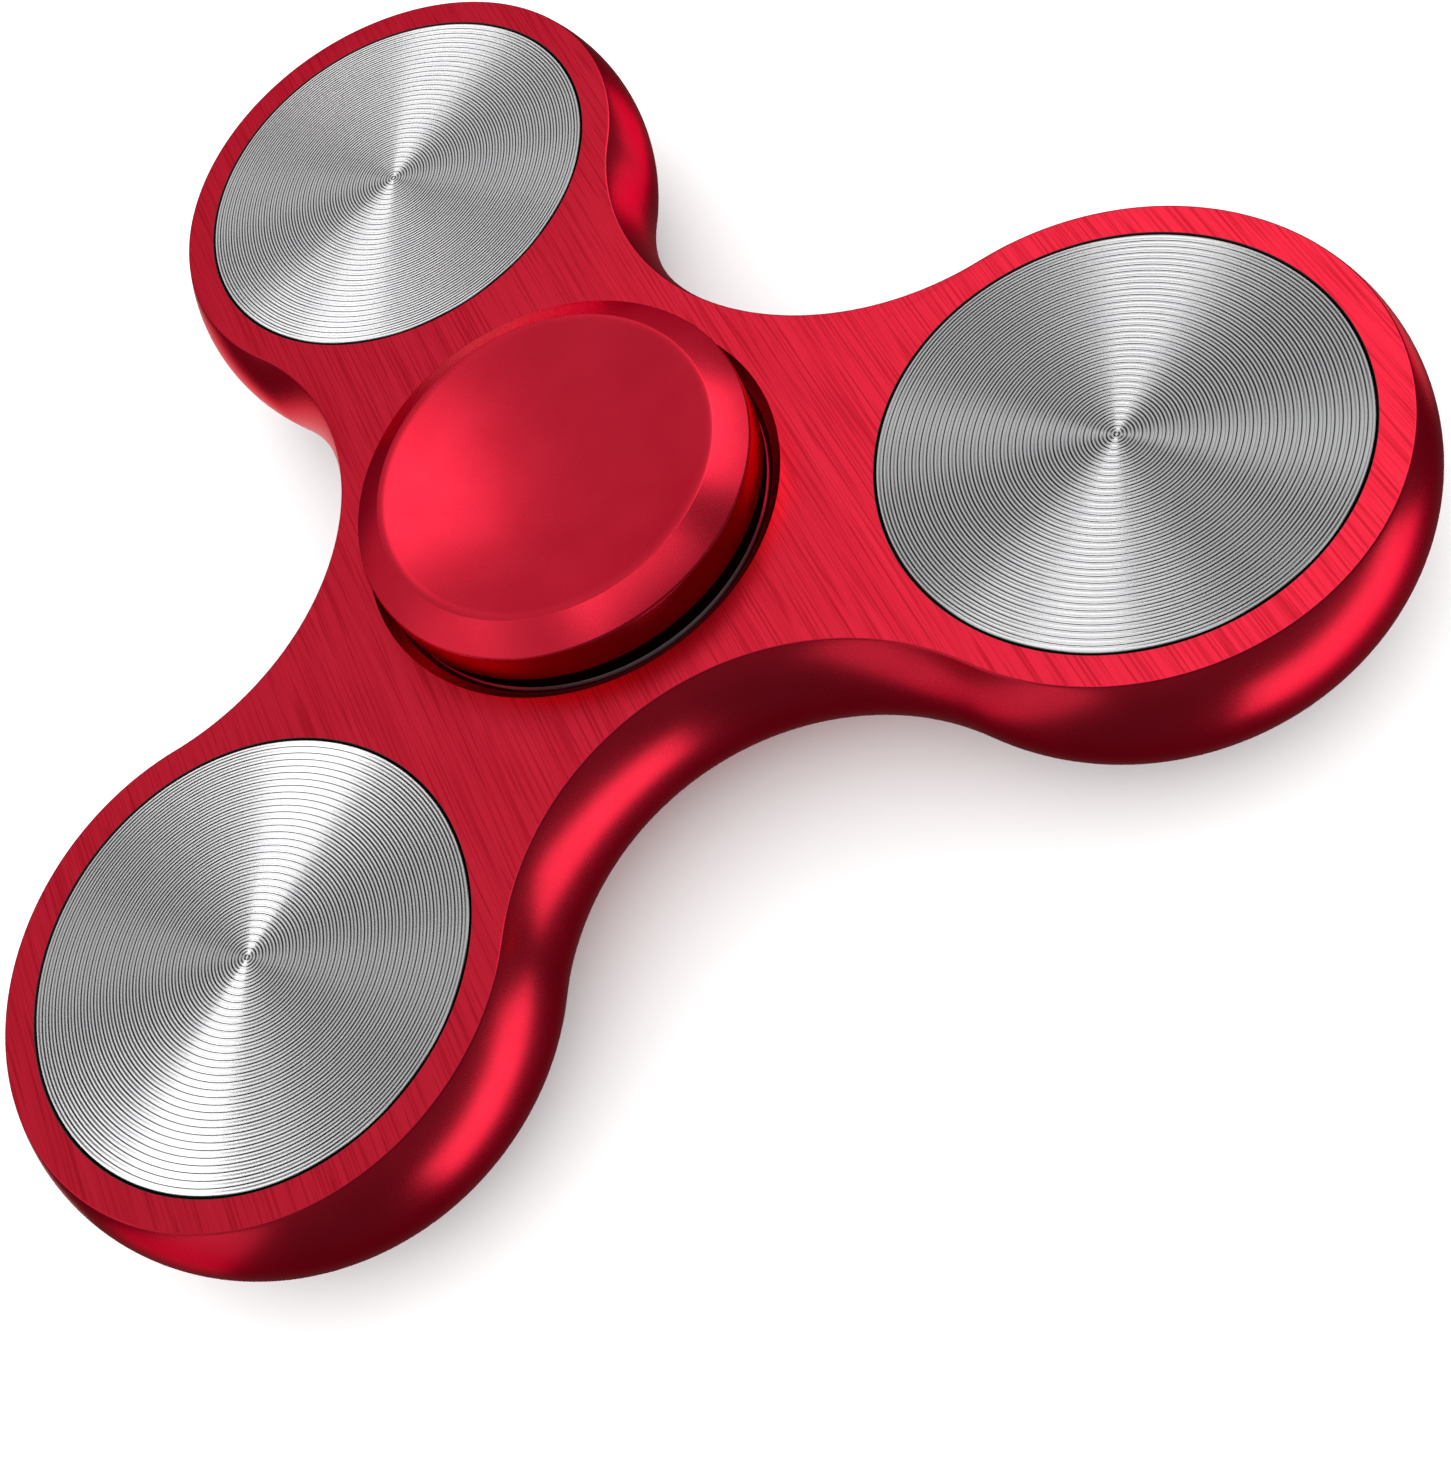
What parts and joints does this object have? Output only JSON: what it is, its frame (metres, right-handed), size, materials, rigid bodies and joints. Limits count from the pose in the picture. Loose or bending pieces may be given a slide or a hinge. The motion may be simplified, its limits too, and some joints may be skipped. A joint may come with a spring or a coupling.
{
  "type": "fidget spinner",
  "caption": "Tri-lobe metal fidget spinner: a crowned red frame with flush spun steel discs, turning on a ball bearing between two dished finger caps.",
  "frame": {"origin": "centre of the bearing, on the spin axis at half the frame's thickness", "axes": "+Z along the spin axis, out of the top cap; +Y towards the first lobe; +X to its right, so the other lobes lie at 30 degrees below -X and +X"},
  "size_m": [0.0788, 0.0722, 0.0154],
  "materials": {
    "frame_red": "red anodised, faces brushed, side wall satin",
    "cap_red": "red anodised, satin",
    "spun_steel": "fine concentric spun grooves",
    "weight_steel": "turned",
    "bearing_steel": "ground",
    "ball_steel": "polished",
    "shield_steel": "pressed sheet",
    "cage_nylon": "moulded"
  },
  "bodies": {
    "hub": {"cap_top": "cap_red", "cap_bottom": "cap_red", "bearing_inner_ring": "bearing_steel"},
    "rotor": {"frame": "frame_red", "weight_1": "weight_steel", "weight_2": "weight_steel", "weight_3": "weight_steel", "face_plate_top_1": "spun_steel", "face_plate_top_2": "spun_steel", "face_plate_top_3": "spun_steel", "face_plate_bottom_1": "spun_steel", "face_plate_bottom_2": "spun_steel", "face_plate_bottom_3": "spun_steel", "bearing_outer_ring": "bearing_steel", "shield_top": "shield_steel", "shield_bottom": "shield_steel"},
    "cage": {"ball_cage": "cage_nylon"},
    "ball_1": {"ball_1": "ball_steel"},
    "ball_2": {"ball_2": "ball_steel"},
    "ball_3": {"ball_3": "ball_steel"},
    "ball_4": {"ball_4": "ball_steel"},
    "ball_5": {"ball_5": "ball_steel"},
    "ball_6": {"ball_6": "ball_steel"},
    "ball_7": {"ball_7": "ball_steel"}
  },
  "joints": [
    {"name": "spin", "type": "hinge", "parent": "hub", "child": "rotor", "pos_m": [0, 0, 0], "axis": [0, 0, 1], "continuous": true},
    {"name": "cage_turn", "type": "hinge", "parent": "hub", "child": "cage", "pos_m": [0, 0, 0], "axis": [0, 0, 1], "continuous": true},
    {"name": "ball_roll_1", "type": "hinge", "parent": "cage", "child": "ball_1", "pos_m": [0, 0.0075, 0], "axis": [0, 0, 1], "continuous": true},
    {"name": "ball_roll_2", "type": "hinge", "parent": "cage", "child": "ball_2", "pos_m": [-0.00586, 0.00468, 0], "axis": [0, 0, 1], "continuous": true},
    {"name": "ball_roll_3", "type": "hinge", "parent": "cage", "child": "ball_3", "pos_m": [-0.00731, -0.00167, 0], "axis": [0, 0, 1], "continuous": true},
    {"name": "ball_roll_4", "type": "hinge", "parent": "cage", "child": "ball_4", "pos_m": [-0.00325, -0.00676, 0], "axis": [0, 0, 1], "continuous": true},
    {"name": "ball_roll_5", "type": "hinge", "parent": "cage", "child": "ball_5", "pos_m": [0.00325, -0.00676, 0], "axis": [0, 0, 1], "continuous": true},
    {"name": "ball_roll_6", "type": "hinge", "parent": "cage", "child": "ball_6", "pos_m": [0.00731, -0.00167, 0], "axis": [0, 0, 1], "continuous": true},
    {"name": "ball_roll_7", "type": "hinge", "parent": "cage", "child": "ball_7", "pos_m": [0.00586, 0.00468, 0], "axis": [0, 0, 1], "continuous": true}
  ],
  "couplings": [
    {"joint": "cage_turn", "follows": "spin", "ratio": 0.6323},
    {"joint": "ball_roll_1", "follows": "spin", "ratio": 1.7578},
    {"joint": "ball_roll_2", "follows": "spin", "ratio": 1.7578},
    {"joint": "ball_roll_3", "follows": "spin", "ratio": 1.7578},
    {"joint": "ball_roll_4", "follows": "spin", "ratio": 1.7578},
    {"joint": "ball_roll_5", "follows": "spin", "ratio": 1.7578},
    {"joint": "ball_roll_6", "follows": "spin", "ratio": 1.7578},
    {"joint": "ball_roll_7", "follows": "spin", "ratio": 1.7578}
  ]
}
